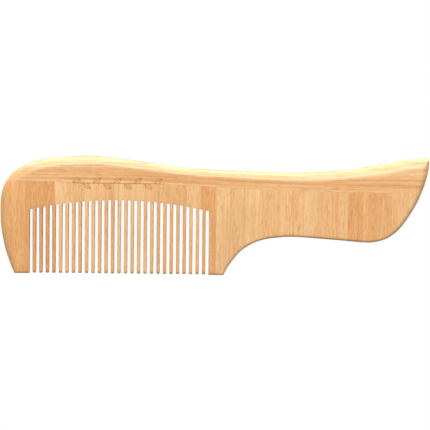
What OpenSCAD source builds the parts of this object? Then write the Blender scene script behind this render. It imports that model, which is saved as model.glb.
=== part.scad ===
// Wide tooth comb with a handle, laminated from bamboo.
// Upright staves carry the teeth and fill the handle, and two lengthwise strips make the spine.
// The comb lies on its back: +X runs along it towards the handle, +Y from the teeth to the spine and
// +Z out of the front face. The origin is under the middle of the comb, on the surface it rests on.

/* [Overall] */
// Length from the end of the head to the tip of the handle
comb_length = 210; // [180:1:260]
// Height of the head, from the feet of its guards to the crown
head_h = 58.3; // [48:0.1:72]
// Thickness of the spine and the handle
thickness = 9; // [7:0.5:13]

/* [Teeth] */
// Number of teeth between the two end guards
tooth_count = 27; // [16:1:32]
// Width of a tooth
tooth_w = 1.68; // [1.4:0.01:2.2]
// Width of the saw cut between two teeth
slot_w = 1.52; // [1.1:0.01:1.9]
// Width of each end guard at its foot
guard_w = 7.5; // [5:0.05:10]
// Solid height left between the crown and the root of the middle cut
spine_h = 21.15; // [19:0.05:27]
// Radius of the arc that the roots of the cuts lie on
root_arc_r = 193; // [150:1:400]
// Corner radius at the root of a cut
root_corner_r = 0.3; // [0.1:0.05:0.5]
// How far the teeth stop short of the feet of the guards
tooth_short = 0.25; // [0:0.05:1.5]
// Rounding of each corner of a tooth tip, seen from the front
tip_round = 0.6; // [0.2:0.05:0.7]
// Thickness of the teeth at their tips
tip_thickness = 4.5; // [2.5:0.5:7]
// Height over which the teeth thin down to their tips
taper_h = 40; // [20:1:45]

/* [Head] */
// How far the end of the head bulges past the foot of its guard
head_bulge = 6.9; // [4:0.1:12]
// Height of the widest place of the head's end
bulge_h = 30.5; // [24:0.5:34]
// Distance from the end of the head to its crown
crown_x = 48; // [30:1:50]

/* [Handle] */
// How far the saddle of the spine lies below the crown
saddle_drop = 7.15; // [3:0.05:8]
// Depth of the handle at its waist, from the saddle to the underside
waist_depth = 31.75; // [26:0.05:34]
// How far the palm swell hangs below the underside of the waist
palm_drop = 2.35; // [0:0.05:6]
// How far the tip rises above the saddle
tip_rise = 7.9; // [4:0.1:14]

/* [Laminations] */
// Width of an upright stave
stave_w = 7.17; // [6:0.01:9]
// Width of the first stave, at the end of the head
first_stave_w = 5.4; // [4:0.1:7]
// Height of the crown above the joint between the staves and the lower strip
crown_cover = 12.2; // [11.5:0.1:15]
// Height of the saddle above that joint
saddle_cover = 9.05; // [8.5:0.05:11]
// Width of the lower strip
strip_w = 6.9; // [5:0.1:7.5]
// Thickness of the tongue along the top of the staves
tongue_t = 2.4; // [1.6:0.1:3.2]
// Height of the tongue
tongue_h = 2.5; // [1.5:0.1:3.5]
// Glue clearance round the tongue
glue_gap = 0.1; // [0.05:0.05:0.2]

/* [Edges] */
// Half thickness of the flat that is left along the very edge
edge_land = 0.5; // [0.3:0.1:1]
// Width of the rounding at the end of the head
head_edge = 5; // [3:0.5:6]
// Width of the rounding along the crown
crown_edge = 4; // [2:0.5:6]
// Width of the rounding along the spine over the neck
neck_edge = 3; // [1.5:0.5:5]
// Width of the rounding along the spine at the grip
grip_edge = 5.5; // [3:0.5:9]
// Width of the rounding at the tips of the teeth and the feet of the guards
foot_edge = 1.4; // [1:0.1:4]
// Width of the rounding along the underside of the handle
under_edge = 1.6; // [1:0.1:4]
// Width of the rounding at the end of the handle
end_edge = 3; // [1.5:0.5:5]

/* [Hidden] */
pitch = tooth_w + slot_w;
foot_x = head_bulge + 2 * guard_w + (tooth_count + 1) * slot_w + tooth_count * tooth_w;
handle_len = comb_length - foot_x;
saddle_y = head_h - saddle_drop;
waist_y = saddle_y - waist_depth;
palm_y = waist_y - palm_drop;
tip_y = saddle_y + tip_rise;
comb_top = max(head_h, tip_y);
joint_head_y = head_h - crown_cover;
joint_handle_y = saddle_y - saddle_cover;

// Steps of the curves, and the small offsets that keep cuts and ends clean
curve_steps = 5;
shoulder_steps = 14;
flank_steps = 8;
corner_steps = 4;
stave_steps = 3;
end_steps = 7;
end_flat = 0.02;
over = 1;
lap = 0.05;
shoulder_power = 2.95;
taper_power = 1.5;
waist_share = 0.35;
level_share = 0.6;
grip_share = 0.8;
// Least height of a piece where it runs out to a point
point_h = 0.5;
edge_rows = [0, 0.08, 0.3, 0.62, 1];
stave_rows = 6;
strip_rows = 2;
// Share of a stave's width below which a rest at the end stays on the last stave
rest_share = 0.25;
// First stave with a tongue: the ones before it are too thin at their tops
tongue_first = 2;
waist_x = foot_x + handle_len * waist_share;
// Where the joint over the staves has come down to its level in the handle
level_x = foot_x + handle_len * level_share;
grip_x = foot_x + handle_len * grip_share;

// Tones of the bamboo, and the tone of each stave from the head to the handle
TONES = ["#F0C08C", "#E8B27D", "#DDA068", "#D3935C"];
STAVE_TONES = [2, 2, 2, 3, 0, 1, 0, 1, 0, 0, 1, 1, 1, 0, 2, 0, 0, 0, 1, 1, 1, 0, 1, 1, 3, 2, 1, 0, 0];

// ---- curves ----

function ease(t) = let (c = max(0, min(1, t))) c * c * (3 - 2 * c);
function blend(a, b, t) = a + (b - a) * t;

// A smooth curve through the knots, with curve_steps points from each knot to the next
function spline_at(a, b, c, d, t) =
    0.5 * (2 * b + (c - a) * t + (2 * a - 5 * b + 4 * c - d) * t * t + (3 * b - a - 3 * c + d) * t * t * t);
function spline(knots) = let (last = len(knots) - 1) [
    for (i = [0:last - 1], s = [0:curve_steps - (i == last - 1 ? 0 : 1)])
        spline_at(knots[max(i - 1, 0)], knots[i], knots[i + 1], knots[min(i + 2, last)], s / curve_steps)];

// Spine from the widest place of the head's end over the crown and the saddle to the tip
shoulder = [for (s = [0:shoulder_steps]) let (a = 90 * s / shoulder_steps, p = 2 / shoulder_power)
    [crown_x * (1 - pow(cos(a), p)), bulge_h + (head_h - bulge_h) * pow(sin(a), p)]];
function falling(u, f) = [blend(crown_x, comb_length, u), head_h - saddle_drop * f];
function rising(u, f) = [blend(crown_x, comb_length, u), saddle_y + tip_rise * f];
back = spline([falling(0, 0), falling(0.1185, 0.31), falling(0.265, 0.745), falling(0.423, 0.94),
    falling(0.58, 1), rising(0.722, 0.133), rising(0.846, 0.525), rising(0.937, 0.863), rising(1, 1)]);
upper = concat(shoulder, [for (i = [1:len(back) - 1]) back[i]]);

// Head's end down to the feet of the guards, then the neck, the waist, the palm and the tip
flank = [for (s = [0:flank_steps]) let (t = s / flank_steps) [head_bulge * t * t, bulge_h * (1 - t)]];
function neck(u, f) = [foot_x + handle_len * u, waist_y * f];
function palm(u, f) = [foot_x + handle_len * u, blend(palm_y, tip_y, f)];
grip = spline([neck(0, 0), neck(0.0243, 0.247), neck(0.081, 0.612), neck(0.141, 0.822),
    neck(0.199, 0.928), neck(0.262, 0.978), neck(0.352, 1), palm(0.553, 0.024), palm(0.681, 0),
    palm(0.74, 0.006), palm(0.8, 0.052), palm(0.8545, 0.15), palm(0.902, 0.3), palm(0.9465, 0.486),
    palm(0.9795, 0.687), palm(0.997, 0.864), palm(1, 1)]);
lower = concat(flank, grip);

// Joint between the staves and the lower strip, and between the two strips
function joint_y(x) = blend(joint_head_y, joint_handle_y, ease((x - crown_x) / (level_x - crown_x)));
function strip_y(x) = joint_y(x) + strip_w;
function upper_y(x) = lookup(x, upper);
function lower_y(x) = lookup(x, lower);

// Place where a rising function of x turns positive between a and b
function crossing(f, a, b, n = 24) = let (m = (a + b) / 2)
    n == 0 ? m : f(m) > 0 ? crossing(f, a, m, n - 1) : crossing(f, m, b, n - 1);

// ---- thickness ----

upper_edges = [[0, head_edge], [crown_x, crown_edge], [foot_x, neck_edge],
    [grip_x, grip_edge], [comb_length, grip_edge]];
lower_edges = [[0, head_edge], [head_bulge, foot_edge], [foot_x, foot_edge],
    [waist_x, under_edge], [grip_x, under_edge], [comb_length, end_edge]];
outline = concat([for (p = upper) [p.x, p.y, lookup(p.x, upper_edges)]],
    [for (i = [len(lower) - 1:-1:0]) let (p = lower[i]) [p.x, p.y, lookup(p.x, lower_edges)]]);

function away(p, a, b) = let (ab = b - a, t = max(0, min(1, (p - a) * ab / max(ab * ab, 1e-9))))
    norm(p - a - ab * t);
function rise(t) = t >= 1 ? 1 : sqrt(1 - (1 - t) * (1 - t));
function edge_share(p) = min([for (i = [0:len(outline) - 2]) let (a = outline[i], b = outline[i + 1])
    rise(away(p, [a.x, a.y], [b.x, b.y]) / a.z)]);
function face_half(p) = let (
    low = pow(max(0, 1 - p.y / taper_h), taper_power),
    head = 1 - ease((p.x - foot_x) / (waist_x - foot_x)))
    (thickness - (thickness - tip_thickness) * low * head) / 2;
function half_t(p) = blend(edge_land, face_half(p), edge_share(p));

// ---- solids ----

// Heights of the rows from low to high. A soft side has close rows over the band where it is rounded
function rows(low, high, band_low, band_high, inner) = let (
    a = band_low > 0 ? [for (t = edge_rows) low + min(band_low, (high - low) / 3) * t] : [low],
    to = band_high > 0 ? high - min(band_high, (high - a[len(a) - 1]) * 0.8) : high,
    b = band_high > 0 ? [for (i = [len(edge_rows) - 1:-1:0]) blend(high, to, edge_rows[i])] : [high])
    concat(a, [for (i = [1:inner]) blend(a[len(a) - 1], to, i / (inner + 1))], b);

// Rounded plate between two heights, over the stations xs
module plate(xs, low, high, band_low, band_high, inner) {
    grid = [for (x = xs)
        [for (y = rows(low(x), high(x), band_low, band_high, inner)) [x, y, half_t([x, y])]]];
    m = len(xs) - 1;
    n = len(grid[0]) - 1;
    points = concat([for (column = grid, p = column) p], [for (column = grid, p = column) [p.x, p.y, -p.z]]);
    function f(i, j) = i * (n + 1) + j;
    function b(i, j) = f(i, j) + (m + 1) * (n + 1);
    function quad(a, b, c, d) = [[a, b, c], [a, c, d]];
    sides = concat(
        [for (i = [0:m - 1], j = [0:n - 1]) quad(f(i, j), f(i, j + 1), f(i + 1, j + 1), f(i + 1, j))],
        [for (i = [0:m - 1], j = [0:n - 1]) quad(b(i, j), b(i + 1, j), b(i + 1, j + 1), b(i, j + 1))],
        [for (i = [0:m - 1]) quad(f(i, 0), f(i + 1, 0), b(i + 1, 0), b(i, 0))],
        [for (i = [0:m - 1]) quad(f(i, n), b(i, n), b(i + 1, n), f(i + 1, n))],
        [for (j = [0:n - 1]) quad(f(0, j + 1), f(0, j), b(0, j), b(0, j + 1))],
        [for (j = [0:n - 1]) quad(f(m, j), f(m, j + 1), b(m, j + 1), b(m, j))]);
    polyhedron(points = points, faces = [for (s = sides, t = s) t]);
}

// Band that follows the glue joint, from below it to above it
module joint_band(xs, below, above, t) {
    linear_extrude(height = t, center = true)
        polygon(concat([for (x = xs) [x, joint_y(x) - below]],
            [for (i = [len(xs) - 1:-1:0]) [xs[i], joint_y(xs[i]) + above]]));
}

// ---- saw cuts ----

function slot_x(k) = head_bulge + guard_w + slot_w / 2 + k * pitch;
function root_y(x) = let (dx = x - slot_x(tooth_count / 2))
    head_h - spine_h - (root_arc_r - sqrt(root_arc_r * root_arc_r - dx * dx));

// Right half of a cut: its mouth is reach wide, and the tooth beside it has a rounded tip
function half_cut(root, reach) = concat(
    [[slot_w / 2 + reach, -over], [slot_w / 2 + reach, tooth_short]],
    [for (s = [0:corner_steps]) let (a = 270 - 90 * s / corner_steps)
        [slot_w / 2 + tip_round + tip_round * cos(a), tooth_short + tip_round + tip_round * sin(a)]],
    [for (s = [0:corner_steps]) let (a = 90 * s / corner_steps)
        [slot_w / 2 - root_corner_r + root_corner_r * cos(a), root - root_corner_r + root_corner_r * sin(a)]]);
function mirrored(points) = [for (i = [len(points) - 1:-1:0]) [-points[i].x, points[i].y]];

module saw_cut(k) {
    beside_tooth = tooth_w / 2 + lap;
    beside_guard = tip_round + lap;
    root = root_y(slot_x(k));
    right = half_cut(root, k == tooth_count ? beside_guard : beside_tooth);
    left = half_cut(root, k == 0 ? beside_guard : beside_tooth);
    translate([slot_x(k), 0, 0])
        linear_extrude(height = thickness + 2 * over, center = true)
            polygon(concat(right, mirrored(left)));
}

// ---- pieces ----

last_stave_x = crossing(function (x) lower_y(x) - joint_y(x) + point_h, waist_x, comb_length);
stave_count = 1 + ceil((last_stave_x - first_stave_w) / stave_w - rest_share);
head_staves = 1 + ceil((foot_x - first_stave_w) / stave_w);

function stave_left(i) = i == 0 ? end_flat : first_stave_w + (i - 1) * stave_w;
function stave_right(i) = i == stave_count - 1 ? last_stave_x : first_stave_w + i * stave_w;
function stave_stations(i) = let (a = stave_left(i), b = stave_right(i))
    i == 0 ? [for (s = [0:end_steps]) a + (b - a) * (1 - cos(90 * s / end_steps))]
    : [for (s = [0:stave_steps]) blend(a, b, s / stave_steps)];

strip_first_x = crossing(function (x) upper_y(x) - joint_y(x) - point_h, 0, crown_x);
strip_last_x = crossing(function (x) lower_y(x) - strip_y(x) + point_h, waist_x, comb_length);
cap_first_x = crossing(function (x) upper_y(x) - strip_y(x) - point_h, 0, crown_x);
all_stations = concat([for (i = [0:stave_count - 1], x = stave_stations(i)) if (x < stave_right(i)) x],
    [for (s = [0:end_steps]) last_stave_x + (comb_length - end_flat - last_stave_x) * sin(90 * s / end_steps)]);
function stations_between(a, b) = concat([a], [for (x = all_stations) if (x > a + 0.1 && x < b - 0.1) x], [b]);

function two_digits(n) = n < 10 ? str("0", n) : str(n);
function stave_name(i) = i < head_staves ? str("head_stave_", two_digits(i + 1))
    : str("handle_stave_", two_digits(i + 1 - head_staves));

// Everything is drawn with the foot of the head's end at x = head_bulge and mid thickness at z = 0
module placed() {
    translate([-comb_length / 2, -comb_top / 2, thickness / 2]) children();
}

module stave(i) {
    xs = stave_stations(i);
    color(TONES[STAVE_TONES[i % len(STAVE_TONES)]])
        placed() {
            difference() {
                plate(xs, function (x) lower_y(x), function (x) min(upper_y(x), joint_y(x)),
                    foot_edge, i == 0 ? foot_edge : 0, stave_rows);
                for (k = [0:tooth_count])
                    if (abs(slot_x(k) - (stave_left(i) + stave_right(i)) / 2) < (stave_w + pitch + slot_w) / 2)
                        saw_cut(k);
            }
            if (i >= tongue_first && i < stave_count - 1)
                joint_band(xs, over, tongue_h, tongue_t);
        }
}

module spine_lower_strip() {
    groove = [for (i = [tongue_first:stave_count - 2], x = stave_stations(i)) x];
    groove_xs = concat([groove[0] - glue_gap], groove, [groove[len(groove) - 1] + glue_gap]);
    color(TONES[1])
        placed()
            difference() {
                plate(stations_between(strip_first_x, strip_last_x),
                    function (x) max(joint_y(x), lower_y(x)), function (x) min(upper_y(x), strip_y(x)),
                    0, 0, strip_rows);
                joint_band(groove_xs, over, tongue_h + glue_gap, tongue_t + 2 * glue_gap);
            }
}

module spine_upper_strip() {
    color(TONES[0])
        placed()
            plate(stations_between(cap_first_x, comb_length - end_flat),
                function (x) max(strip_y(x), lower_y(x)), function (x) upper_y(x), 0, grip_edge, 1);
}

for (i = [0:stave_count - 1])
    stave(i);
spine_lower_strip();
spine_upper_strip();
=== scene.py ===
"""Wide tooth comb of laminated bamboo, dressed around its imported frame.

Upright staves carry the teeth and fill the handle, and two lengthwise strips make the spine.
Lengths are in millimetres from the end of the head (u) and from the feet of the guards (v), until a
piece is put in the frame, which is in metres.
"""

import logging
import math
from dataclasses import dataclass, field
from enum import Enum
from typing import Callable

import bpy
import numpy as np
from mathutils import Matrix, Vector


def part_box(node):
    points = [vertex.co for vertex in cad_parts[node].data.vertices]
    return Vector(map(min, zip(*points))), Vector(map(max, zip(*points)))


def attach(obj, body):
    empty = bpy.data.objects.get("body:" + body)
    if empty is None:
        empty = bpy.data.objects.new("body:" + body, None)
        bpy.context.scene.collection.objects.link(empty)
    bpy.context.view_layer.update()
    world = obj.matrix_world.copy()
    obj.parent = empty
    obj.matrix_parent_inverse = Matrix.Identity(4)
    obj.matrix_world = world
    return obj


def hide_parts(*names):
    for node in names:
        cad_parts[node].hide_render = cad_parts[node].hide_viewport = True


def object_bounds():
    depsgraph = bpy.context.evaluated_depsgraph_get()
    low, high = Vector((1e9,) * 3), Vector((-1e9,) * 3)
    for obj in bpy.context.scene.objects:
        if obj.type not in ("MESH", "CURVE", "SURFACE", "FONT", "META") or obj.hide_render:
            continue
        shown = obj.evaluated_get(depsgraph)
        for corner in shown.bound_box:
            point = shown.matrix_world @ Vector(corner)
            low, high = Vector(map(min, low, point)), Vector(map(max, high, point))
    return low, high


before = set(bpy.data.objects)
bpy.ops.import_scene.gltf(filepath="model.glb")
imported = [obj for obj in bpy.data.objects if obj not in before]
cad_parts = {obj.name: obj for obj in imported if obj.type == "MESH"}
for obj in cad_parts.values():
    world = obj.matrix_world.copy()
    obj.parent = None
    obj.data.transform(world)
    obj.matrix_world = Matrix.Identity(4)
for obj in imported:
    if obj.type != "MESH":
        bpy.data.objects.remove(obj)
cad_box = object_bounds()

MM = 0.001
# How far each end is cut back, so that the pieces end in a small flat and not in a point
END_FLAT = 0.02
# Distance below which two places are the same
TINY = 1e-6
# Smallest squared length of a stretch of the outline, so that nothing is divided by zero
LEAST_SQUARE = 1e-9
WHITE = (1.0, 1.0, 1.0, 1.0)
BODY = "root"
log = logging.getLogger("comb")

Curve = Callable[[np.ndarray], np.ndarray]


# ---------------------------------------------------------------- small helpers


def ease(t: np.ndarray) -> np.ndarray:
    """Returns t from 0 to 1 with a soft start and a soft stop."""
    c = np.clip(t, 0.0, 1.0)
    return c * c * (3.0 - 2.0 * c)


def rise(t: np.ndarray) -> np.ndarray:
    """Returns the height of a quarter round of radius 1 at the distance t from its edge."""
    c = np.clip(t, 0.0, 1.0)
    return np.sqrt(1.0 - (1.0 - c) ** 2)


def spline(knots: list[tuple[float, float]], steps: int) -> np.ndarray:
    """Runs a smooth curve through the knots.

    Args:
        knots: Points that the curve goes through.
        steps: Points from each knot to the next.

    Returns:
        The curve's points, one row each.
    """
    p = np.array(knots, dtype=float)
    out = []
    for i in range(len(p) - 1):
        a, b, c, d = p[max(i - 1, 0)], p[i], p[i + 1], p[min(i + 2, len(p) - 1)]
        for t in np.arange(steps) / steps:
            out.append(
                0.5
                * (
                    2 * b
                    + (c - a) * t
                    + (2 * a - 5 * b + 4 * c - d) * t**2
                    + (3 * b - a - 3 * c + d) * t**3
                )
            )
    out.append(p[-1])
    return np.array(out)


def curled(width: float, steps: int) -> np.ndarray:
    """Returns distances from 0 to width that are close together near 0, for a rounded edge."""
    return width * (1.0 - np.cos(np.linspace(0.0, math.pi / 2, steps + 1)))


def evenly(steps: int) -> np.ndarray:
    """Returns shares in even steps, from the first step up to 1."""
    return np.linspace(0.0, 1.0, steps + 1)[1:]


def deselect_all() -> None:
    """Leaves nothing selected and nothing in edit mode."""
    if bpy.context.object and bpy.context.object.mode != "OBJECT":
        bpy.ops.object.mode_set(mode="OBJECT")
    bpy.ops.object.select_all(action="DESELECT")


# ---------------------------------------------------------------- shape of the comb


@dataclass
class Teeth:
    """Saw cuts and the teeth between them."""

    count: int = 27
    tooth_w: float = 1.68
    slot_w: float = 1.52
    guard_w: float = 7.5
    root_h: float = 37.15
    root_arc_r: float = 193.0
    root_corner: float = 0.3
    short: float = 0.25
    tip_round: float = 0.6
    eased: float = 0.3
    head_bulge: float = 6.9

    @property
    def pitch(self) -> float:
        """Distance from one cut to the next."""
        return self.tooth_w + self.slot_w

    @property
    def foot_x(self) -> float:
        """Outer end of the foot of the second guard."""
        return self.slot_x(self.count) + self.slot_w / 2 + self.guard_w

    def slot_x(self, k: float) -> float:
        """Middle of cut k."""
        return self.head_bulge + self.guard_w + self.slot_w / 2 + k * self.pitch

    def nearest(self, u: np.ndarray) -> np.ndarray:
        """Returns the middle of the cut that is nearest to each u."""
        k = np.clip(np.round((u - self.slot_x(0)) / self.pitch), 0, self.count)
        return self.slot_x(0) + k * self.pitch

    def beside(self, u: np.ndarray) -> np.ndarray:
        """Returns how far each u is outside the nearest cut: negative in the cut."""
        return np.abs(u - self.nearest(u)) - self.slot_w / 2

    def corner(self, inward: np.ndarray, radius: float) -> np.ndarray:
        """Returns how far a corner of this radius curves away at a distance from its side."""
        return radius * (1.0 - rise(np.clip(inward, 0.0, radius) / radius))

    def root(self, u: np.ndarray) -> np.ndarray:
        """Returns the height of the roots of the cuts at u, with each root's corners rounded."""
        dx = u - self.slot_x(self.count / 2)
        arc = self.root_h - (self.root_arc_r - np.sqrt(self.root_arc_r**2 - dx**2))
        inward = np.maximum(-self.beside(u), 0.0)
        return arc - self.corner(inward, self.root_corner)

    def foot(self, u: np.ndarray) -> np.ndarray:
        """Returns how far the tips and the guards' inner corners stand above the feet at u."""
        tooth = (u > self.slot_x(0)) & (u < self.slot_x(self.count))
        return np.where(tooth, self.short, 0.0) + self.corner(self.beside(u), self.tip_round)

    def gaps(self, low: float, high: float) -> list[tuple[float, float]]:
        """Returns the two sides of each cut that reaches between low and high, cut off at both."""
        sides = [
            (self.slot_x(k) - self.slot_w / 2, self.slot_x(k) + self.slot_w / 2)
            for k in range(self.count + 1)
        ]
        return [(max(a, low), min(b, high)) for a, b in sides if b > low and a < high]

    def distance(self, u: np.ndarray, v: np.ndarray) -> np.ndarray:
        """Returns the distance of each point from the nearest cut."""
        return np.hypot(np.maximum(self.beside(u), 0.0), np.maximum(v - self.root(u), 0.0))


@dataclass
class CombShape:
    """Outline, joints and thickness of the sanded comb."""

    length: float
    thickness: float
    teeth: Teeth = field(default_factory=Teeth)
    head_h: float = 58.3
    bulge_h: float = 30.5
    crown_x: float = 48.0
    shoulder_power: float = 2.95
    saddle_drop: float = 7.15
    waist_depth: float = 31.75
    palm_drop: float = 2.35
    tip_rise: float = 7.9
    crown_cover: float = 12.2
    saddle_cover: float = 9.05
    strip_w: float = 6.9
    tip_thickness: float = 4.5
    taper_h: float = 40.0
    taper_power: float = 1.5
    edge_land: float = 0.5
    head_edge: float = 5.0
    crown_edge: float = 4.0
    neck_edge: float = 3.0
    grip_edge: float = 5.5
    foot_edge: float = 1.4
    under_edge: float = 1.6
    end_edge: float = 3.0
    waist_share: float = 0.35
    level_share: float = 0.6
    grip_share: float = 0.8
    steps: int = 24
    points_at_once: int = 2000

    def __post_init__(self) -> None:
        """Works out the outline from the sizes."""
        self.foot_x = self.teeth.foot_x
        self.handle_len = self.length - self.foot_x
        self.saddle_y = self.head_h - self.saddle_drop
        self.waist_y = self.saddle_y - self.waist_depth
        self.palm_y = self.waist_y - self.palm_drop
        self.tip_y = self.saddle_y + self.tip_rise
        self.waist_x = self.foot_x + self.handle_len * self.waist_share
        self.level_x = self.foot_x + self.handle_len * self.level_share
        self.grip_x = self.foot_x + self.handle_len * self.grip_share
        self.upper = self._upper()
        self.lower = self._lower()
        self.outline, self.widths = self._outline()

    def _upper(self) -> np.ndarray:
        """Returns the spine, from the widest place of the head's end to the tip."""
        a = np.linspace(0.0, math.pi / 2, 3 * self.steps)
        p = 2.0 / self.shoulder_power
        shoulder = np.column_stack(
            (
                self.crown_x * (1.0 - np.abs(np.cos(a)) ** p),
                self.bulge_h + (self.head_h - self.bulge_h) * np.sin(a) ** p,
            )
        )
        back_len = self.length - self.crown_x
        falling = [(0, 0), (0.1185, 0.31), (0.265, 0.745), (0.423, 0.94), (0.58, 1)]
        rising = [(0.722, 0.133), (0.846, 0.525), (0.937, 0.863), (1, 1)]
        knots = [
            (self.crown_x + back_len * u, self.head_h - self.saddle_drop * f) for u, f in falling
        ]
        knots += [
            (self.crown_x + back_len * u, self.saddle_y + self.tip_rise * f) for u, f in rising
        ]
        return np.vstack((shoulder, spline(knots, self.steps)[1:]))

    def _lower(self) -> np.ndarray:
        """Returns the underside, from the head's end by feet, neck, waist and palm to the tip."""
        t = np.linspace(0.0, 1.0, 2 * self.steps)
        flank = np.column_stack((self.teeth.head_bulge * t**2, self.bulge_h * (1.0 - t)))
        neck = [(0, 0), (0.0243, 0.247), (0.081, 0.612), (0.141, 0.822), (0.199, 0.928)]
        neck += [(0.262, 0.978), (0.352, 1)]
        palm = [(0.553, 0.024), (0.681, 0), (0.74, 0.006), (0.8, 0.052), (0.8545, 0.15)]
        palm += [(0.902, 0.3), (0.9465, 0.486), (0.9795, 0.687), (0.997, 0.864), (1, 1)]
        knots = [(self.foot_x + self.handle_len * u, self.waist_y * f) for u, f in neck]
        depth = self.tip_y - self.palm_y
        knots += [(self.foot_x + self.handle_len * u, self.palm_y + depth * f) for u, f in palm]
        return np.vstack((flank, spline(knots, self.steps)))

    def _outline(self) -> tuple[np.ndarray, np.ndarray]:
        """Returns the closed outline and the width of the rounding at each of its points."""
        upper_at = [0, self.crown_x, self.foot_x, self.grip_x, self.length]
        upper_w = [self.head_edge, self.crown_edge, self.neck_edge, self.grip_edge, self.grip_edge]
        lower_at = [0, self.teeth.head_bulge, self.foot_x, self.waist_x, self.grip_x, self.length]
        lower_w = [self.head_edge, self.foot_edge, self.foot_edge]
        lower_w += [self.under_edge, self.under_edge, self.end_edge]
        points = np.vstack((self.upper, self.lower[::-1]))
        widths = np.concatenate(
            (
                np.interp(self.upper[:, 0], upper_at, upper_w),
                np.interp(self.lower[::-1, 0], lower_at, lower_w),
            )
        )
        return points, widths

    def upper_y(self, u: np.ndarray) -> np.ndarray:
        """Returns the height of the spine at u."""
        return np.interp(u, self.upper[:, 0], self.upper[:, 1])

    def lower_y(self, u: np.ndarray) -> np.ndarray:
        """Returns the height of the underside at u, before the teeth are shaped."""
        return np.interp(u, self.lower[:, 0], self.lower[:, 1])

    def joint_y(self, u: np.ndarray) -> np.ndarray:
        """Returns the height of the joint between the staves and the lower strip at u."""
        head = self.head_h - self.crown_cover
        handle = self.saddle_y - self.saddle_cover
        share = ease((u - self.crown_x) / (self.level_x - self.crown_x))
        return head + (handle - head) * share

    def strip_y(self, u: np.ndarray) -> np.ndarray:
        """Returns the height of the joint between the two strips at u."""
        return self.joint_y(u) + self.strip_w

    def edge_share(self, u: np.ndarray, v: np.ndarray) -> np.ndarray:
        """Returns how much of the thickness the rounding of the outline leaves at each point."""
        a, b = self.outline[:-1], self.outline[1:]
        ab = b - a
        size = np.maximum((ab**2).sum(axis=1), LEAST_SQUARE)
        share = np.ones_like(u)
        for start in range(0, len(u), self.points_at_once):
            part = slice(start, start + self.points_at_once)
            pu, pv = u[part, None] - a[:, 0], v[part, None] - a[:, 1]
            t = np.clip((pu * ab[:, 0] + pv * ab[:, 1]) / size, 0.0, 1.0)
            away = np.hypot(pu - t * ab[:, 0], pv - t * ab[:, 1])
            share[part] = rise(away / self.widths[:-1]).min(axis=1)
        return share

    def half(self, u: np.ndarray, v: np.ndarray) -> np.ndarray:
        """Returns half the thickness of the sanded comb at each point.

        Args:
            u: Distances from the end of the head.
            v: Heights above the feet of the guards.

        Returns:
            Half thicknesses, eased along the outline, the tips and the cuts.
        """
        low = np.maximum(0.0, 1.0 - v / self.taper_h) ** self.taper_power
        head = 1.0 - ease((u - self.foot_x) / (self.waist_x - self.foot_x))
        face = (self.thickness - (self.thickness - self.tip_thickness) * low * head) / 2
        share = self.edge_share(u, v)
        toothed = (u > self.teeth.slot_x(0)) & (u < self.teeth.slot_x(self.teeth.count))
        tip = rise((v - self.teeth.foot(u)) / self.foot_edge)
        share = np.where(toothed, np.minimum(share, tip), share)
        half = self.edge_land + (face - self.edge_land) * share
        eased = self.teeth.eased
        return half - eased * (1.0 - rise(self.teeth.distance(u, v) / eased))


# ---------------------------------------------------------------- finishes


class Tone(Enum):
    """Tones that the bamboo strips are sorted into, with their material slot."""

    LIGHT = "bamboo_light"
    HONEY = "bamboo_honey"
    AMBER = "bamboo_amber"
    TOASTED = "bamboo_toasted"


class Grain(Enum):
    """Which way the fibres of a piece run."""

    UPRIGHT = "upright"
    LENGTHWISE = "lengthwise"


class Nodes:
    """Places and links the nodes of one node tree."""

    NOISE_ROUGHNESS = 0.55
    # Sockets of a Mix node that mixes colours
    MIX_FACTOR, MIX_A, MIX_B, MIX_RESULT = 0, 6, 7, 2

    def __init__(self, tree: bpy.types.NodeTree) -> None:
        """Keeps the tree that the nodes go into."""
        self.tree = tree

    def add(self, kind: str, inputs: dict | None = None, **settings) -> bpy.types.Node:
        """Adds one node.

        Args:
            kind: Type of the node.
            inputs: Socket name or number to a value, or to an output socket that is linked to it.
            settings: Properties of the node.

        Returns:
            The node.
        """
        node = self.tree.nodes.new(kind)
        for name, value in settings.items():
            setattr(node, name, value)
        for socket, value in (inputs or {}).items():
            if isinstance(value, bpy.types.NodeSocket):
                self.tree.links.new(value, node.inputs[socket])
            else:
                node.inputs[socket].default_value = value
        return node

    def math(
        self, operation: str, a: object, b: object = 0.0, clamp: bool = False
    ) -> bpy.types.NodeSocket:
        """Returns the output of a Math node on a and b."""
        node = self.add("ShaderNodeMath", {0: a, 1: b}, operation=operation, use_clamp=clamp)
        return node.outputs[0]

    def spread(self, value: object, low: float, high: float) -> bpy.types.NodeSocket:
        """Returns value stretched so that low becomes 0 and high becomes 1, softly and clamped."""
        node = self.add(
            "ShaderNodeMapRange",
            {"Value": value, "From Min": low, "From Max": high},
            interpolation_type="SMOOTHSTEP",
        )
        return node.outputs[0]

    def noise(
        self, vector: object, scale: tuple, detail: float, offset: tuple = (0, 0, 0)
    ) -> bpy.types.NodeSocket:
        """Returns noise that is stretched by its own scale along each axis."""
        mapping = self.add(
            "ShaderNodeMapping", {"Vector": vector, "Scale": scale, "Location": offset}
        )
        node = self.add(
            "ShaderNodeTexNoise",
            {
                "Vector": mapping.outputs[0],
                "Scale": 1.0,
                "Detail": detail,
                "Roughness": self.NOISE_ROUGHNESS,
            },
        )
        return node.outputs[0]

    def mix(self, factor: object, a: object, b: object) -> bpy.types.NodeSocket:
        """Returns the colour a mixed with the colour b by factor."""
        inputs = {self.MIX_FACTOR: factor, self.MIX_A: a, self.MIX_B: b}
        return self.add("ShaderNodeMix", inputs, data_type="RGBA").outputs[self.MIX_RESULT]


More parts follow.
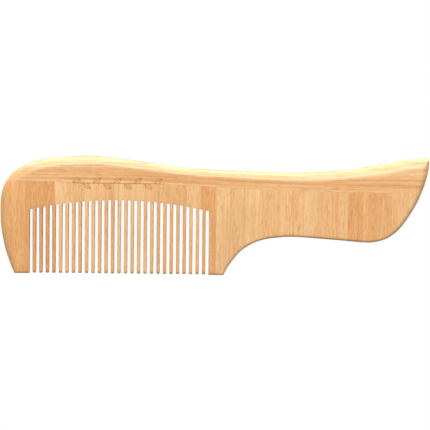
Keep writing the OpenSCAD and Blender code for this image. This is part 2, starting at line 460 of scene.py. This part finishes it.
def bamboo_grain() -> bpy.types.NodeTree:
    """Builds the node group of bamboo's fibres, once.

    Returns:
        A group that takes a place in millimetres with its Y along the fibres, and puts out the
        fibres, the short dark flecks of the vessels, the slow clouds of tone, the long dark
        lines and the height.
    """
    name = "bamboo_grain"
    if name in bpy.data.node_groups:
        return bpy.data.node_groups[name]
    hair_share, fine_share, band_share = 0.25, 0.45, 0.30
    patch_pull, dot_share, fleck_depth = 0.35, 0.7, 0.7
    group = bpy.data.node_groups.new(name, "ShaderNodeTree")
    group.interface.new_socket("Vector", in_out="INPUT", socket_type="NodeSocketVector")
    for output in ("Fibre", "Fleck", "Cloud", "Line", "Height"):
        group.interface.new_socket(output, in_out="OUTPUT", socket_type="NodeSocketFloat")
    n = Nodes(group)
    place = n.add("NodeGroupInput").outputs["Vector"]
    hair = n.noise(place, (4.5, 0.20, 4.5), 2.0)
    fine = n.noise(place, (1.7, 0.07, 1.7), 2.0, (23.0, 3.0, 7.0))
    band = n.noise(place, (0.55, 0.015, 0.55), 1.0, (11.0, 3.0, 7.0))
    vessel = n.noise(place, (2.1, 0.22, 2.1), 1.0, (5.0, 19.0, 2.0))
    pore = n.noise(place, (5.0, 0.55, 5.0), 0.0, (15.0, 9.0, 12.0))
    patch = n.noise(place, (0.30, 0.07, 0.30), 1.0, (3.0, 1.0, 29.0))
    ring = n.noise(place, (1.15, 0.006, 0.25), 1.0, (31.0, 2.0, 17.0))
    hair, fine = n.math("MULTIPLY", hair, hair_share), n.math("MULTIPLY", fine, fine_share)
    fibre = n.math("ADD", n.math("ADD", hair, fine), n.math("MULTIPLY", band, band_share))
    lean = n.math("MULTIPLY", n.math("SUBTRACT", patch, 0.5), patch_pull)
    dash = n.spread(n.math("ADD", vessel, lean), 0.53, 0.68)
    dot = n.spread(n.math("ADD", pore, lean), 0.60, 0.72)
    fleck = n.math("MAXIMUM", dash, n.math("MULTIPLY", dot, dot_share))
    sunk = n.math("MULTIPLY", fleck, fleck_depth)
    height = n.math("SUBTRACT", n.spread(fibre, 0.35, 0.65), sunk)
    n.add(
        "NodeGroupOutput",
        {
            "Fibre": n.spread(fibre, 0.36, 0.64),
            "Fleck": fleck,
            "Cloud": n.spread(patch, 0.3, 0.7),
            "Line": n.spread(ring, 0.52, 0.66),
            "Height": height,
        },
    )
    return group


def leaf_mark() -> bpy.types.NodeTree:
    """Builds the node group of the burnt row of leaves, once.

    Returns:
        A group that takes a place in millimetres from the start of the stem, with X along the
        stem and Z from the middle of the comb, and puts out a mask of the burnt lines.
    """
    name = "leaf_mark"
    if name in bpy.data.node_groups:
        return bpy.data.node_groups[name]
    pitch, leaf_len, leaf_half, lean = 5.0, 4.7, 1.1, math.radians(34)
    stem_len, face_z, line_in, line_out = 45.0, 4.2, 0.12, 0.27
    group = bpy.data.node_groups.new(name, "ShaderNodeTree")
    group.interface.new_socket("Vector", in_out="INPUT", socket_type="NodeSocketVector")
    group.interface.new_socket("Mask", in_out="OUTPUT", socket_type="NodeSocketFloat")
    n = Nodes(group)
    place = n.add("NodeGroupInput").outputs["Vector"]
    x, y, z = n.add("ShaderNodeSeparateXYZ", {0: place}).outputs
    cell = n.math("FLOOR", n.math("DIVIDE", x, pitch))
    inside = n.math("SUBTRACT", x, n.math("MULTIPLY", cell, pitch))
    odd = n.math("FLOORED_MODULO", cell, 2.0)
    side = n.math("SUBTRACT", 1.0, n.math("MULTIPLY", odd, 2.0))
    up = n.math("MULTIPLY", y, side)
    ahead = n.math("MULTIPLY", inside, math.cos(lean))
    ahead = n.math("ADD", ahead, n.math("MULTIPLY", up, math.sin(lean)))
    along = n.math("DIVIDE", ahead, leaf_len)
    aside = n.math("MULTIPLY", up, math.cos(lean))
    aside = n.math("SUBTRACT", aside, n.math("MULTIPLY", inside, math.sin(lean)))
    across = n.math("ABSOLUTE", aside)
    belly = n.math("MULTIPLY", n.math("SINE", n.math("MULTIPLY", along, math.pi)), leaf_half)
    rim = n.math("ABSOLUTE", n.math("SUBTRACT", across, belly))
    rim_line = n.spread(rim, line_out, line_in)
    rib_line = n.spread(across, line_out, line_in)
    past_start = n.math("GREATER_THAN", along, 0.0)
    within = n.math("MULTIPLY", past_start, n.math("LESS_THAN", along, 1.0))
    leaf = n.math("MULTIPLY", n.math("MAXIMUM", rim_line, rib_line), within)
    stem = n.spread(n.math("ABSOLUTE", y), line_out, line_in)
    mask = n.math("MAXIMUM", stem, leaf)
    for limit in (n.math("GREATER_THAN", x, 0.0), n.math("LESS_THAN", x, stem_len)):
        mask = n.math("MULTIPLY", mask, limit)
    mask = n.math("MULTIPLY", mask, n.math("GREATER_THAN", z, face_z))
    n.add("NodeGroupOutput", {"Mask": mask})
    return group


@dataclass(frozen=True)
class BambooFinish:
    """Sanded and lightly oiled bamboo of one tone, with its fibres one way."""

    tone: Tone
    grain: Grain
    pale: tuple
    deep: tuple
    fleck_strength: float
    mark_start: tuple
    fleck: tuple = (0.58, 0.22, 0.05, 1.0)
    glue: tuple = (0.42, 0.20, 0.07, 1.0)
    burnt: tuple = (0.46, 0.18, 0.05, 1.0)
    roughness: float = 0.40
    smoother: float = 0.06
    rougher: float = 0.12
    specular: float = 0.45
    coat: float = 0.45
    coat_roughness: float = 0.28
    fibre_share: float = 0.60
    cloud_share: float = 0.20
    seam_strength: float = 0.35
    mark_strength: float = 0.85
    mark_depth: float = 2.0
    bump_strength: float = 0.35
    bump_height: float = 0.04
    strip_lines: float = 0.42
    stave_lines: float = 0.10

    @property
    def name(self) -> str:
        """Name of the material."""
        return f"{self.tone.value}_{self.grain.value}"

    def material(self) -> bpy.types.Material:
        """Returns the finish as a material, built the first time it is asked for."""
        if self.name in bpy.data.materials:
            return bpy.data.materials[self.name]
        made = bpy.data.materials.new(self.name)
        made.use_nodes = True
        made.node_tree.nodes.clear()
        n = Nodes(made.node_tree)
        place = self._scaled(n)
        grain = n.add("ShaderNodeGroup", node_tree=bamboo_grain())
        made.node_tree.links.new(self._along_fibres(n, place), grain.inputs["Vector"])
        mark = n.add("ShaderNodeGroup", node_tree=leaf_mark())
        from_start = n.add(
            "ShaderNodeVectorMath", {0: place, 1: self.mark_start}, operation="SUBTRACT"
        )
        made.node_tree.links.new(from_start.outputs[0], mark.inputs["Vector"])
        fibre, fleck, cloud, line = (grain.outputs[k] for k in ("Fibre", "Fleck", "Cloud", "Line"))
        tone = n.add("ShaderNodeAttribute", attribute_name="tone").outputs["Fac"]
        seam = n.add("ShaderNodeAttribute", attribute_name="seam").outputs["Fac"]
        clouds = n.math("MULTIPLY", cloud, self.cloud_share)
        shade = n.math("ADD", n.math("MULTIPLY", fibre, self.fibre_share), clouds)
        shade = n.math("ADD", shade, tone, clamp=True)
        colour = n.mix(shade, self.deep, self.pale)
        colour = n.mix(n.math("MULTIPLY", fleck, self.fleck_strength), colour, self.fleck)
        colour = n.mix(n.math("MULTIPLY", line, self._line_strength), colour, self.fleck)
        colour = n.mix(n.math("MULTIPLY", seam, self.seam_strength), colour, self.glue)
        burn = mark.outputs[0]
        colour = n.mix(n.math("MULTIPLY", burn, self.mark_strength), colour, self.burnt)
        rough = n.add(
            "ShaderNodeMapRange",
            {
                "Value": fibre,
                "To Min": self.roughness - self.smoother,
                "To Max": self.roughness + self.rougher,
            },
        )
        sunk = n.math("MULTIPLY", burn, self.mark_depth)
        bump = n.add(
            "ShaderNodeBump",
            {
                "Height": n.math("SUBTRACT", grain.outputs["Height"], sunk),
                "Strength": self.bump_strength,
                "Distance": self.bump_height * MM,
            },
        )
        shader = n.add(
            "ShaderNodeBsdfPrincipled",
            {
                "Base Color": colour,
                "Roughness": rough.outputs[0],
                "Normal": bump.outputs[0],
                "Specular IOR Level": self.specular,
                "Coat Weight": self.coat,
                "Coat Roughness": self.coat_roughness,
            },
        )
        n.add("ShaderNodeOutputMaterial", {"Surface": shader.outputs[0]})
        return made

    @property
    def _line_strength(self) -> float:
        """How strongly the long dark lines show: most in the strips, which are cut along them."""
        return self.strip_lines if self.grain is Grain.LENGTHWISE else self.stave_lines

    @staticmethod
    def _scaled(n: Nodes) -> bpy.types.NodeSocket:
        """Returns the place in millimetres."""
        inputs = {0: n.add("ShaderNodeTexCoord").outputs["Object"], "Scale": 1.0 / MM}
        return n.add("ShaderNodeVectorMath", inputs, operation="SCALE").outputs[0]

    def _along_fibres(self, n: Nodes, place: bpy.types.NodeSocket) -> bpy.types.NodeSocket:
        """Returns the place shifted for each piece, with Y along its fibres."""
        seed = n.add("ShaderNodeAttribute", attribute_name="seed").outputs["Vector"]
        moved = n.add("ShaderNodeVectorMath", {0: place, 1: seed}, operation="ADD").outputs[0]
        if self.grain is Grain.UPRIGHT:
            return moved
        parts = n.add("ShaderNodeSeparateXYZ", {0: moved})
        return n.add(
            "ShaderNodeCombineXYZ", {0: parts.outputs[1], 1: parts.outputs[0], 2: parts.outputs[2]}
        ).outputs[0]


def bamboo(tone: Tone, grain: Grain) -> BambooFinish:
    """Returns the finish of a strip of this tone, with its fibres this way."""
    looks = {
        Tone.LIGHT: ((0.90, 0.578, 0.29, 1.0), (0.76, 0.407, 0.158, 1.0), 0.34),
        Tone.HONEY: ((0.885, 0.535, 0.25, 1.0), (0.725, 0.36, 0.13, 1.0), 0.42),
        Tone.AMBER: ((0.86, 0.475, 0.195, 1.0), (0.69, 0.315, 0.10, 1.0), 0.50),
        Tone.TOASTED: ((0.84, 0.445, 0.178, 1.0), (0.63, 0.268, 0.079, 1.0), 0.62),
    }
    low, high = cad_box
    mark_x, mark_y = 35.5, 45.4
    mark_start = (low.x / MM + mark_x, low.y / MM + mark_y, (low.z + high.z) / 2 / MM)
    return BambooFinish(tone, grain, *looks[tone], mark_start)


@dataclass(frozen=True)
class StudioPaint:
    """Pale floor paint that is burnt out to white where the camera looks at it."""

    colour: tuple = (0.62, 0.61, 0.60, 1.0)
    roughness: float = 0.9

    def material(self) -> bpy.types.Material:
        """Returns the paint as a material."""
        made = bpy.data.materials.new("studio_paint")
        made.use_nodes = True
        made.node_tree.nodes.clear()
        n = Nodes(made.node_tree)
        paint = n.add(
            "ShaderNodeBsdfPrincipled", {"Base Color": self.colour, "Roughness": self.roughness}
        )
        glare = n.add("ShaderNodeEmission", {"Color": WHITE, "Strength": 1.0})
        seen = n.add("ShaderNodeLightPath").outputs["Is Camera Ray"]
        both = n.add("ShaderNodeMixShader", {0: seen, 1: paint.outputs[0], 2: glare.outputs[0]})
        n.add("ShaderNodeOutputMaterial", {"Surface": both.outputs[0]})
        return made


# ---------------------------------------------------------------- pieces


@dataclass
class Lattice:
    """Columns and rows of points that one sanded piece is shaped on.

    The columns stand at u, and v has the height of each row at each column. The saw takes away
    the cells in sawn. The other values are for the finish: seam is 1 at a glue line, tone is
    higher where a piece is paler, and sway is how far the fibres rise with a bent strip.
    """

    u: np.ndarray
    v: np.ndarray
    sawn: np.ndarray
    seam: np.ndarray
    tone: np.ndarray
    sway: np.ndarray | None = None


@dataclass
class Bench:
    """Turns lattices into closed pieces in the frame."""

    shape: CombShape
    smooth_angle: float = math.radians(32)
    grid_size: float = 2.0
    grid_depth: float = 1.0
    grain_shift: tuple = (7.3, 41.7, 13.1)

    def __post_init__(self) -> None:
        """Finds the comb's place in the frame."""
        low, high = cad_box
        self.corner = np.array((low.x - END_FLAT * MM, low.y, (low.z + high.z) / 2))

    def piece(self, name: str, lattice: Lattice, node: str, seed: int) -> bpy.types.Object:
        """Makes one closed piece.

        Args:
            name: Name of the piece.
            lattice: Its columns and rows.
            node: CAD node that it stands for.
            seed: Number that shifts its grain.

        Returns:
            The piece, at the origin and riding on the comb's body.
        """
        columns, rows = lattice.v.shape
        deselect_all()
        bpy.ops.mesh.primitive_grid_add(
            x_subdivisions=columns - 1,
            y_subdivisions=rows - 1,
            size=self.grid_size,
            location=(0, 0, 0),
        )
        piece = bpy.context.object
        piece.name = name
        piece.data.name = name
        self._saw(piece, lattice)
        bpy.ops.object.mode_set(mode="EDIT")
        bpy.ops.mesh.select_all(action="SELECT")
        bpy.ops.mesh.extrude_region_move(
            TRANSFORM_OT_translate={"value": (0, 0, -self.grid_depth)}
        )
        bpy.ops.object.mode_set(mode="OBJECT")
        self._shape(piece, lattice, seed)
        bpy.ops.object.mode_set(mode="EDIT")
        bpy.ops.mesh.select_all(action="SELECT")
        bpy.ops.mesh.normals_make_consistent(inside=False)
        bpy.ops.object.mode_set(mode="OBJECT")
        bpy.ops.object.shade_smooth_by_angle(angle=self.smooth_angle)
        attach(piece, BODY)
        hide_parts(node)
        return piece

    def _cells(
        self, mesh: bpy.types.Mesh, lattice: Lattice
    ) -> tuple[np.ndarray, np.ndarray, np.ndarray]:
        """Returns the column and the row of each point of the flat grid, and its z."""
        co = np.empty(len(mesh.vertices) * 3)
        mesh.vertices.foreach_get("co", co)
        co = co.reshape(-1, 3)
        columns, rows = lattice.v.shape
        share = (co + self.grid_size / 2) / self.grid_size
        i = np.rint(share[:, 0] * (columns - 1)).astype(int)
        j = np.rint(share[:, 1] * (rows - 1)).astype(int)
        return i, j, co[:, 2]

    def _saw(self, piece: bpy.types.Object, lattice: Lattice) -> None:
        """Deletes the cells of the grid that the saw takes away."""
        if not lattice.sawn.any():
            return
        mesh = piece.data
        i, j, _ = self._cells(mesh, lattice)
        bpy.ops.object.mode_set(mode="EDIT")
        bpy.ops.mesh.select_mode(type="FACE")
        bpy.ops.mesh.select_all(action="DESELECT")
        bpy.ops.object.mode_set(mode="OBJECT")
        for face in mesh.polygons:
            corners = list(face.vertices)
            face.select = bool(lattice.sawn[i[corners].min(), j[corners].min()])
        bpy.ops.object.mode_set(mode="EDIT")
        bpy.ops.mesh.delete(type="FACE")
        bpy.ops.mesh.select_mode(type="VERT")
        bpy.ops.object.mode_set(mode="OBJECT")

    def _shape(self, piece: bpy.types.Object, lattice: Lattice, seed: int) -> None:
        """Moves the points onto the sanded surface and writes what the finish reads."""
        mesh = piece.data
        i, j, z = self._cells(mesh, lattice)
        u, v = lattice.u[i], lattice.v[i, j]
        half = self.shape.half(u, v)
        side = np.where(z > -self.grid_depth / 2, 1.0, -1.0)
        co = self.corner + np.column_stack((u, v, side * half)) * MM
        mesh.vertices.foreach_set("co", co.ravel())
        shift = np.tile([seed * step for step in self.grain_shift], (len(u), 1))
        if lattice.sway is not None:
            shift[:, 1] -= lattice.sway[i]
        tones = mesh.attributes.new("tone", "FLOAT", "POINT")
        tones.data.foreach_set("value", lattice.tone[i, j])
        seams = mesh.attributes.new("seam", "FLOAT", "POINT")
        seams.data.foreach_set("value", lattice.seam[i, j])
        seeds = mesh.attributes.new("seed", "FLOAT_VECTOR", "POINT")
        seeds.data.foreach_set("vector", shift.ravel())
        mesh.update()


@dataclass
class Staves:
    """Upright staves, from the end of the head to the end of the handle.

    The tones and the leans have one letter for each stave. A stave with the lean "-" gets darker
    towards the handle, and one with "+" gets paler.
    """

    bench: Bench
    tones: str = "AAATLHLHLLHHHLALLLHHHLHHTAHLL"
    leans: str = ".....-.-..-....-..-..-.+.-..."
    lean: float = 0.35
    tone_spread: float = 0.25
    first_draw: int = 100
    column_step: float = 0.55
    cut_step: float = 0.2
    thin_steps: int = 3
    corner_room: float = 0.3
    near_share: float = 0.45
    root_share: float = 0.75
    edge_share: float = 0.25
    seam_w: float = 0.12
    seam_share: float = 0.125
    edge_steps: int = 5
    foot_steps: int = 9
    tooth_rows: int = 26
    head_rows: int = 8
    end_steps: int = 26

    LETTERS = {"L": Tone.LIGHT, "H": Tone.HONEY, "A": Tone.AMBER, "T": Tone.TOASTED}

    def nodes(self) -> list[str]:
        """Returns the names of the staves' CAD nodes, from the head to the handle."""
        names = [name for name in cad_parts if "_stave_" in name]
        return sorted(names, key=lambda name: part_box(name)[0][0])

    def build(self) -> list[bpy.types.Object]:
        """Returns the staves, each on its own CAD node's place."""
        return [self._stave(index, node) for index, node in enumerate(self.nodes())]

    def _stave(self, index: int, node: str) -> bpy.types.Object:
        """Makes and dresses one stave."""
        low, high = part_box(node)
        left = (low[0] - self.bench.corner[0]) / MM
        right = (high[0] - self.bench.corner[0]) / MM
        last = index == len(self.nodes()) - 1
        columns, gap = self._columns(left, right, index == 0)
        lattice = self._lattice(columns, gap, index == 0, last)
        draw = np.random.default_rng(self.first_draw + index)
        slopes = {"-": -self.lean, ".": 0.0, "+": self.lean}
        slope = slopes[self.leans[index % len(self.leans)]]
        across = (columns - left) / (right - left) - 0.5
        lattice.tone[:] = (float(draw.uniform(0.0, self.tone_spread)) + slope * across)[:, None]
        piece = self.bench.piece(f"bamboo_{node}", lattice, node, index + 1)
        tone = self.LETTERS[self.tones[index % len(self.tones)]]
        piece.data.materials.append(bamboo(tone, Grain.UPRIGHT).material())
        return piece

    def _columns(
        self, left: float, right: float, first: bool
    ) -> tuple[np.ndarray, np.ndarray]:
        """Works out where the columns of one stave stand.

        Args:
            left: Its left side.
            right: Its right side.
            first: Whether it is the stave at the end of the head.

        Returns:
            The columns, and whether the strip between each and the next is in a cut.
        """
        teeth = self.bench.shape.teeth
        if first:
            curve = left + curled(right - left, self.end_steps)[:-2]
            places = np.concatenate((curve, [right - self.seam_w, right]))
            return places, np.zeros(len(places) - 1, bool)
        cuts = teeth.gaps(left, right)
        marks = sorted({left, right, *(side for gap in cuts for side in gap)})
        for corner in (teeth.head_bulge, teeth.foot_x):
            if left + self.corner_room < corner < right - self.corner_room:
                marks = sorted({*marks, corner})
        places, gap = [marks[0]], []
        for a, b in zip(marks[:-1], marks[1:]):
            in_cut = any(p - TINY <= a and b <= q + TINY for p, q in cuts)
            inner = list(self._between(a, b, in_cut))
            places += inner
            gap += [in_cut] * len(inner)
        return np.array(places), np.array(gap, bool)

    def _is_saw(self, place: float) -> bool:
        """Returns whether a place is the side of a cut."""
        return abs(float(self.bench.shape.teeth.beside(np.array(place)))) < TINY

    def _between(self, a: float, b: float, in_cut: bool) -> np.ndarray:
        """Returns the columns after a up to b: close beside a cut, and one beside a joint."""
        teeth = self.bench.shape.teeth
        reach = min(teeth.root_corner if in_cut else teeth.eased, (b - a) * self.near_share)
        by_saw, by_joint = curled(reach, self.edge_steps), np.array((0.0, self.seam_w))
        near_a = by_saw if self._is_saw(a) else by_joint
        near_b = by_saw if self._is_saw(b) else by_joint
        if near_a[-1] + near_b[-1] >= b - a:
            return np.linspace(a, b, self.thin_steps + 1)[1:]
        low, high = a + near_a[-1], b - near_b[-1]
        count = max(1, math.ceil((high - low) / (self.cut_step if in_cut else self.column_step)))
        even = np.linspace(low, high, count + 1)[1:-1]
        return np.concatenate((a + near_a[1:], even, (b - near_b)[::-1]))

    def _lattice(self, u: np.ndarray, gap: np.ndarray, first: bool, last: bool) -> Lattice:
        """Lays out the rows of one stave over its columns."""
        shape, teeth = self.bench.shape, self.bench.shape.teeth
        first_cut, last_cut = teeth.slot_x(0), teeth.slot_x(teeth.count)
        toothed = (u > first_cut - teeth.slot_w) & (u < last_cut + teeth.slot_w)
        low = shape.lower_y(u) + np.where(toothed, teeth.foot(u), 0.0)
        high = np.minimum(shape.joint_y(u), shape.upper_y(u))
        in_head = (u > teeth.head_bulge) & (u < teeth.foot_x)
        middle = low + self.root_share * (high - low)
        middle = np.where(in_head & (not first), teeth.root(u), middle)
        span = np.minimum(shape.foot_edge, (high - low) * self.edge_share)
        ease_w = np.minimum(teeth.eased, (high - middle) * self.edge_share)
        parts = [low + span * t for t in curled(1.0, self.foot_steps)]
        parts += [low + span + (middle - low - span) * t for t in evenly(self.tooth_rows)]
        root_row = len(parts) - 1
        parts += [middle + ease_w * t for t in curled(1.0, self.edge_steps)[1:]]
        top = high - np.minimum(self.seam_w, (high - middle) * self.seam_share)
        parts += [middle + ease_w + (top - middle - ease_w) * t for t in evenly(self.head_rows)]
        parts.append(high)
        v = np.array(parts).T
        sawn = np.zeros((len(u) - 1, v.shape[1] - 1), bool)
        sawn[gap, :root_row] = True
        seam = np.zeros_like(v)
        seam[shape.upper_y(u) > shape.joint_y(u), -1] = 1.0
        if not first and not self._is_saw(u[0]):
            seam[0] = 1.0
        if not last and not self._is_saw(u[-1]):
            seam[-1] = 1.0
        return Lattice(u, v, sawn, seam, np.zeros_like(v))


@dataclass
class SpineStrips:
    """The two lengthwise strips of the spine."""

    bench: Bench
    column_step: float = 0.8
    seam_w: float = 0.12
    seam_share: float = 0.125
    rows: int = 16
    flat_rows: int = 5
    round_rows: int = 14
    round_share: float = 0.85
    upper_tone: float = 0.15
    pale_tone: float = 0.5
    pale_band: float = 2.4
    lower_seed: int = 60
    upper_seed: int = 61
    end_steps: int = 16
    end_reach: float = 8.0

    def build(self) -> list[bpy.types.Object]:
        """Returns the lower strip and the upper strip."""
        shape = self.bench.shape
        lower = self._strip(
            "spine_lower_strip",
            lambda u: np.maximum(shape.joint_y(u), shape.lower_y(u)),
            lambda u: np.minimum(shape.upper_y(u), shape.strip_y(u)),
            Tone.HONEY,
            False,
        )
        upper = self._strip(
            "spine_upper_strip",
            lambda u: np.maximum(shape.strip_y(u), shape.lower_y(u)),
            shape.upper_y,
            Tone.LIGHT,
            True,
        )
        return [lower, upper]

    def _strip(
        self, node: str, low_of: Curve, high_of: Curve, tone: Tone, outer: bool
    ) -> bpy.types.Object:
        """Makes and dresses one strip.

        Args:
            node: CAD node that it stands for.
            low_of: Its lower side along the comb.
            high_of: Its upper side along the comb.
            tone: Its tone.
            outer: Whether its upper side is the sanded spine.

        Returns:
            The strip.
        """
        low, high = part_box(node)
        left = (low[0] - self.bench.corner[0]) / MM
        right = (high[0] - self.bench.corner[0]) / MM
        count = round((right - left - 2 * self.end_reach) / self.column_step)
        ends = curled(self.end_reach, self.end_steps)
        u = np.concatenate(
            (
                left + ends,
                np.linspace(left + self.end_reach, right - self.end_reach, count)[1:-1],
                (right - ends)[::-1],
            )
        )
        lattice = self._lattice(u, low_of(u), high_of(u), outer)
        seed = self.upper_seed if outer else self.lower_seed
        piece = self.bench.piece(f"bamboo_{node}", lattice, node, seed)
        piece.data.materials.append(bamboo(tone, Grain.LENGTHWISE).material())
        return piece

    def _lattice(
        self, u: np.ndarray, low: np.ndarray, high: np.ndarray, outer: bool
    ) -> Lattice:
        """Lays out the rows of one strip over its columns."""
        shape = self.bench.shape
        seam_w = np.minimum(self.seam_w, (high - low) * self.seam_share)
        parts, start = [low], low + seam_w
        if outer:
            band = (high - low - seam_w) * self.round_share
            flat = np.linspace(0, 1, self.flat_rows)
            parts += [start + (high - band - low - seam_w) * t for t in flat]
            parts += [high - band * t for t in curled(1.0, self.round_rows)[::-1][1:]]
        else:
            even = np.linspace(0, 1, self.rows)
            parts += [start + (high - low - 2 * seam_w) * t for t in even]
            parts.append(high)
        v = np.array(parts).T
        seam = np.zeros_like(v)
        seam[low > shape.lower_y(u) + TINY, 0] = 1.0
        if not outer:
            seam[high < shape.upper_y(u) - TINY, -1] = 1.0
        sawn = np.zeros((len(u) - 1, v.shape[1] - 1), bool)
        above = (v - shape.joint_y(u)[:, None]) / self.pale_band
        pale = self.pale_tone - self.pale_tone * ease(above)
        tone = np.full_like(v, self.upper_tone) if outer else pale
        return Lattice(u, v, sawn, seam, tone, shape.joint_y(u) - shape.joint_y(u[0]))


# ---------------------------------------------------------------- studio


@dataclass(frozen=True)
class SoftLight:
    """One broad soft light, whose face is as bright as its radiance, where 1 is white."""

    name: str
    place: tuple
    size: tuple
    radiance: float

    def hang(self, target: tuple) -> None:
        """Hangs the light so that it shines at the target."""
        deselect_all()
        bpy.ops.object.light_add(type="AREA", location=self.place)
        light = bpy.context.object
        light.name = self.name
        light.data.shape = "RECTANGLE"
        light.data.size, light.data.size_y = self.size
        light.data.energy = self.radiance * math.pi * self.size[0] * self.size[1]
        light.visible_camera = False
        towards = [a - b for a, b in zip(target, self.place)]
        light.rotation_euler = (
            math.atan2(math.hypot(towards[0], towards[1]), -towards[2]),
            0.0,
            math.atan2(towards[1], towards[0]) - math.pi / 2,
        )


@dataclass
class Studio:
    """Pale floor, soft lights and the camera.

    The spine light stands beyond the spine, the front light hangs above the comb, and the table
    light shines up at it from below.
    """

    LIGHTS = (
        SoftLight("spine_light", (0.10, 1.10, 0.42), (0.6, 0.45), 3.6),
        SoftLight("front_light", (-0.05, 0.64, 1.20), (0.9, 0.6), 10.1),
        SoftLight("table_light", (0.0, 0.32, -0.15), (0.9, 0.4), 3.7),
    )

    middle: tuple
    distance: float = 1.608
    tilt: float = math.radians(8.0)
    roll: float = math.radians(0.6)
    aim: tuple = (0.0003, 0.0002)
    lens: float = 274.2
    sensor_w: float = 36.0
    clip_start: float = 0.01
    floor_size: float = 6.0
    floor_drop: float = 0.16
    room_light: float = 0.26

    def build(self) -> None:
        """Sets up the floor, the lights and the camera."""
        self._floor()
        for light in self.LIGHTS:
            light.hang(self.middle)
        self._camera()
        self._world()

    def _floor(self) -> None:
        """Lays the floor below the comb."""
        deselect_all()
        bpy.ops.mesh.primitive_plane_add(
            size=self.floor_size, location=(0.0, 0.0, -self.floor_drop)
        )
        floor = bpy.context.object
        floor.name = "floor"
        floor.data.materials.append(StudioPaint().material())

    def _camera(self) -> None:
        """Puts the camera over the comb, leaning a little beyond its spine."""
        bpy.ops.object.camera_add()
        camera = bpy.context.object
        camera.name = "camera"
        lean = self.distance * math.sin(self.tilt)
        camera.location = (
            self.middle[0] + self.aim[0] - lean * math.sin(self.roll),
            self.middle[1] + self.aim[1] + lean * math.cos(self.roll),
            self.middle[2] + self.distance * math.cos(self.tilt),
        )
        camera.rotation_euler = (-self.tilt, 0.0, self.roll)
        camera.data.sensor_width = self.sensor_w
        camera.data.lens = self.lens
        camera.data.clip_start = self.clip_start
        bpy.context.scene.camera = camera

    def _world(self) -> None:
        """Fills the room with even light, and burns it out to white where the camera sees it."""
        world = bpy.data.worlds.new("room")
        world.use_nodes = True
        world.node_tree.nodes.clear()
        n = Nodes(world.node_tree)
        seen = n.add("ShaderNodeLightPath").outputs["Is Camera Ray"]
        strength = n.add(
            "ShaderNodeMapRange", {"Value": seen, "To Min": self.room_light, "To Max": 1.0}
        )
        room = n.add(
            "ShaderNodeBackground", {"Color": WHITE, "Strength": strength.outputs[0]}
        )
        n.add("ShaderNodeOutputWorld", {"Surface": room.outputs[0]})
        bpy.context.scene.world = world
        bpy.context.scene.view_settings.view_transform = "Standard"


def main() -> None:
    """Builds every part of the comb and the studio in order."""
    logging.basicConfig(level=logging.INFO, format="%(message)s")
    low, high = cad_box
    length = (high.x - low.x) / MM + 2 * END_FLAT
    shape = CombShape(length=length, thickness=(high.z - low.z) / MM)
    bench = Bench(shape)
    for part in (Staves(bench), SpineStrips(bench)):
        for piece in part.build():
            log.info("%s: %d faces", piece.name, len(piece.data.polygons))
    Studio(tuple((a + b) / 2 for a, b in zip(low, high))).build()


if __name__ == "__main__":
    main()
